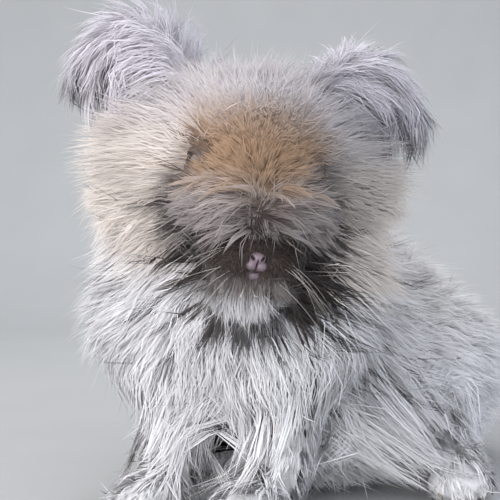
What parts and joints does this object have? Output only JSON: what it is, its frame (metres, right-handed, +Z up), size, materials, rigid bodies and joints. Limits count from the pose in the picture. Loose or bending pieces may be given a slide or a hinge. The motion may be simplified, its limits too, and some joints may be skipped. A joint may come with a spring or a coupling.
{
  "type": "angora rabbit model",
  "caption": "Life-size still model of a long-haired rabbit, sitting on all fours with its head turned and its furred ears folded outward.",
  "frame": {"origin": "on the floor under the trunk, on the plane between the left and right hind legs", "axes": "+Z up, -Y to the rabbit's front, +X to the rabbit's left"},
  "size_m": [0.2459, 0.3899, 0.2725],
  "materials": {
    "coat_cream": "long silky cream hair",
    "coat_white": "long silky white hair",
    "coat_fawn": "short and long fawn brown hair",
    "coat_grey": "lilac grey hair",
    "eye_dark": "wet dark eye"
  },
  "bodies": {
    "root": {"eye_left": "eye_dark", "eye_right": "eye_dark", "ear_left": "coat_grey", "ear_right": "coat_grey", "head": "coat_fawn", "neck": "coat_cream", "chest": "coat_white", "foreleg_left": "coat_cream", "foreleg_right": "coat_cream", "hindleg_left": "coat_white", "hindleg_right": "coat_white", "tail": "coat_white", "trunk": "coat_cream"}
  },
  "joints": []
}
